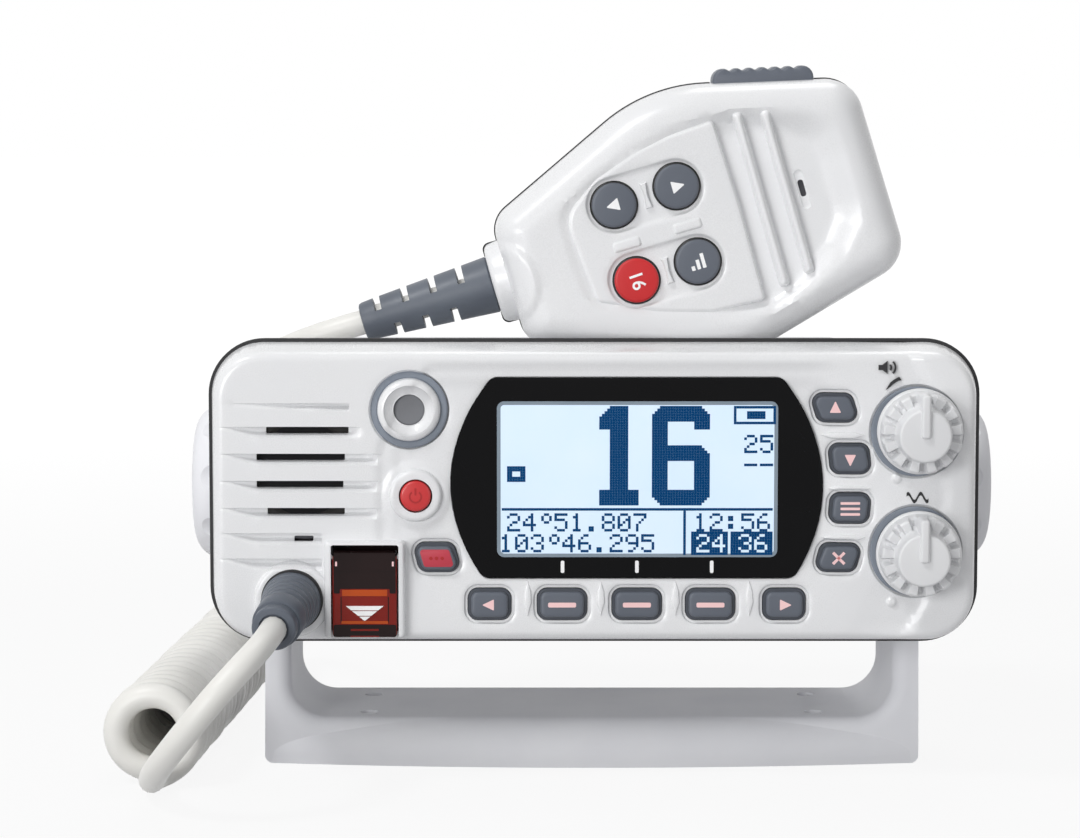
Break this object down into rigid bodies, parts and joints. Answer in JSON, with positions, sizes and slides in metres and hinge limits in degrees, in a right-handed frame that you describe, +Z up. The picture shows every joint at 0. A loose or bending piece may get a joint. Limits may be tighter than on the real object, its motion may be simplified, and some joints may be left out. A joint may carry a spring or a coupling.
{
  "type": "vhf marine radio",
  "caption": "Fixed-mount marine VHF radio on a tilting gimbal bracket, with a fist microphone on top, a curly cord, keys, two knobs, a display and a flip-up guard.",
  "frame": {"origin": "centre of the bracket's four screw holes, on the surface that the bracket is screwed to", "axes": "+X to the right of someone who faces the panel, +Y from the panel to the rear, +Z up, away from the mounting surface"},
  "size_m": [0.2152, 0.2193, 0.1704],
  "materials": {
    "white_plastic": "glossy moulded white",
    "white_case": "die-cast, glossy white powder coat",
    "slate_plastic": "satin slate grey",
    "red_key": "glossy red",
    "clear_red": "clear dark red",
    "slate_rubber": "satin slate rubber",
    "red_rubber": "satin red rubber",
    "black_rubber": "matt black",
    "cord_jacket": "satin off-white",
    "lens": "gloss black with a clear window",
    "display": "pale blue, lit from behind",
    "silicone": "matt grey",
    "board": "green circuit board",
    "tin": "tinned",
    "steel": "stainless",
    "brass": "turned",
    "nickel": "nickel plated",
    "dark_plastic": "dark grey",
    "speaker_frame": "black",
    "cone": "coated paper"
  },
  "bodies": {
    "bracket": {"bracket": "white_plastic", "cord_coil": "cord_jacket", "cord_front_lead": "cord_jacket", "cord_riser": "cord_jacket"},
    "radio": {"front_panel": "white_plastic", "front_gasket": "black_rubber", "chassis": "white_case", "chassis_screws": "steel", "display_window": "lens", "lcd_module": "display", "front_board": "board", "main_board": "board", "shield_can": "tin", "speaker": "speaker_frame", "speaker_cone": "cone", "port_plug": "slate_plastic", "rotary_pots": "dark_plastic", "panel_boot": "slate_rubber", "boot_seal": "black_rubber", "distress_hinge_pin": "steel", "keypad_mat": "silicone", "antenna_socket": "nickel", "rear_glands": "black_rubber", "friction_washers": "black_rubber", "thread_inserts": "brass", "cord_mic_lead": "cord_jacket"},
    "mic": {"mic_front_shell": "white_plastic", "mic_rear_shell": "white_plastic", "mic_gasket": "black_rubber", "mic_board": "board", "mic_capsule": "dark_plastic", "mic_screws": "steel", "mic_hang_button": "dark_plastic", "mic_boot": "slate_rubber"},
    "knob_left": {"gimbal_knob_left": "white_plastic", "gimbal_stud_left": "steel"},
    "knob_right": {"gimbal_knob_right": "white_plastic", "gimbal_stud_right": "steel"},
    "vol": {"vol_knob": "white_plastic", "vol_shaft": "steel"},
    "sql": {"sql_knob": "white_plastic", "sql_shaft": "steel"},
    "flap": {"distress_cover": "clear_red"},
    "distress": {"distress_button": "red_key"},
    "ptt": {"ptt_button": "slate_plastic"},
    "key_left_cap": {"key_left": "slate_plastic"},
    "key_soft_1_cap": {"key_soft_1": "slate_plastic"},
    "key_soft_2_cap": {"key_soft_2": "slate_plastic"},
    "key_soft_3_cap": {"key_soft_3": "slate_plastic"},
    "key_right_cap": {"key_right": "slate_plastic"},
    "key_up_cap": {"key_up": "slate_plastic"},
    "key_down_cap": {"key_down": "slate_plastic"},
    "key_menu_cap": {"key_menu": "slate_plastic"},
    "key_clear_cap": {"key_clear": "slate_plastic"},
    "key_channel_cap": {"key_channel": "slate_plastic"},
    "key_power_cap": {"key_power": "red_key"},
    "mic_key_left_cap": {"mic_key_left": "slate_rubber"},
    "mic_key_right_cap": {"mic_key_right": "slate_rubber"},
    "mic_key_channel_cap": {"mic_key_channel": "red_rubber"},
    "mic_key_level_cap": {"mic_key_level": "slate_rubber"}
  },
  "joints": [
    {"name": "radio_tilt", "type": "hinge", "parent": "bracket", "child": "radio", "pos_m": [0, 0, 0.0671], "axis": [1, 0, 0], "range_deg": [-20, 15], "deforming": ["cord_front_lead", "cord_riser", "cord_mic_lead"]},
    {"name": "mic_lift", "type": "slide", "parent": "radio", "child": "mic", "axis": [0, 0, 1], "range_m": [0, 0.04], "deforming": ["cord_mic_lead"]},
    {"name": "clamp_left", "type": "hinge", "parent": "bracket", "child": "knob_left", "pos_m": [-0.0896, 0, 0.0671], "axis": [1, 0, 0], "continuous": true},
    {"name": "clamp_right", "type": "hinge", "parent": "bracket", "child": "knob_right", "pos_m": [0.0896, 0, 0.0671], "axis": [1, 0, 0], "continuous": true},
    {"name": "volume_turn", "type": "hinge", "parent": "radio", "child": "vol", "pos_m": [0.0763, -0.06, 0.0851], "axis": [0, 1, 0], "range_deg": [-150, 150]},
    {"name": "squelch_turn", "type": "hinge", "parent": "radio", "child": "sql", "pos_m": [0.0763, -0.06, 0.0562], "axis": [0, 1, 0], "range_deg": [-150, 150]},
    {"name": "flap_open", "type": "hinge", "parent": "radio", "child": "flap", "pos_m": [-0.05385, -0.0519, 0.0554], "axis": [-1, 0, 0], "range_deg": [0, 100], "stiffness_Nm_per_rad": 0.01, "springref_deg": -5.73},
    {"name": "distress_press", "type": "slide", "parent": "radio", "child": "distress", "axis": [0, 1, 0], "range_m": [0, 0.0015], "stiffness_N_per_m": 400, "springref_m": -0.0005},
    {"name": "talk_press", "type": "slide", "parent": "mic", "child": "ptt", "axis": [0.0419, 0, -0.9991], "range_m": [0, 0.0015], "stiffness_N_per_m": 400, "springref_m": -0.0005},
    {"name": "key_left_press", "type": "slide", "parent": "radio", "child": "key_left_cap", "axis": [0, 1, 0], "range_m": [0, 0.001], "stiffness_N_per_m": 400, "springref_m": -0.0003},
    {"name": "key_soft_1_press", "type": "slide", "parent": "radio", "child": "key_soft_1_cap", "axis": [0, 1, 0], "range_m": [0, 0.001], "stiffness_N_per_m": 400, "springref_m": -0.0003},
    {"name": "key_soft_2_press", "type": "slide", "parent": "radio", "child": "key_soft_2_cap", "axis": [0, 1, 0], "range_m": [0, 0.001], "stiffness_N_per_m": 400, "springref_m": -0.0003},
    {"name": "key_soft_3_press", "type": "slide", "parent": "radio", "child": "key_soft_3_cap", "axis": [0, 1, 0], "range_m": [0, 0.001], "stiffness_N_per_m": 400, "springref_m": -0.0003},
    {"name": "key_right_press", "type": "slide", "parent": "radio", "child": "key_right_cap", "axis": [0, 1, 0], "range_m": [0, 0.001], "stiffness_N_per_m": 400, "springref_m": -0.0003},
    {"name": "key_up_press", "type": "slide", "parent": "radio", "child": "key_up_cap", "axis": [0, 1, 0], "range_m": [0, 0.001], "stiffness_N_per_m": 400, "springref_m": -0.0003},
    {"name": "key_down_press", "type": "slide", "parent": "radio", "child": "key_down_cap", "axis": [0, 1, 0], "range_m": [0, 0.001], "stiffness_N_per_m": 400, "springref_m": -0.0003},
    {"name": "key_menu_press", "type": "slide", "parent": "radio", "child": "key_menu_cap", "axis": [0, 1, 0], "range_m": [0, 0.001], "stiffness_N_per_m": 400, "springref_m": -0.0003},
    {"name": "key_clear_press", "type": "slide", "parent": "radio", "child": "key_clear_cap", "axis": [0, 1, 0], "range_m": [0, 0.001], "stiffness_N_per_m": 400, "springref_m": -0.0003},
    {"name": "key_channel_press", "type": "slide", "parent": "radio", "child": "key_channel_cap", "axis": [0, 1, 0], "range_m": [0, 0.001], "stiffness_N_per_m": 400, "springref_m": -0.0003},
    {"name": "key_power_press", "type": "slide", "parent": "radio", "child": "key_power_cap", "axis": [0, 1, 0], "range_m": [0, 0.001], "stiffness_N_per_m": 400, "springref_m": -0.0003},
    {"name": "mic_key_left_press", "type": "slide", "parent": "mic", "child": "mic_key_left_cap", "axis": [0, 1, 0], "range_m": [0, 0.001], "stiffness_N_per_m": 400, "springref_m": -0.0003},
    {"name": "mic_key_right_press", "type": "slide", "parent": "mic", "child": "mic_key_right_cap", "axis": [0, 1, 0], "range_m": [0, 0.001], "stiffness_N_per_m": 400, "springref_m": -0.0003},
    {"name": "mic_key_channel_press", "type": "slide", "parent": "mic", "child": "mic_key_channel_cap", "axis": [0, 1, 0], "range_m": [0, 0.001], "stiffness_N_per_m": 400, "springref_m": -0.0003},
    {"name": "mic_key_level_press", "type": "slide", "parent": "mic", "child": "mic_key_level_cap", "axis": [0, 1, 0], "range_m": [0, 0.001], "stiffness_N_per_m": 400, "springref_m": -0.0003}
  ]
}
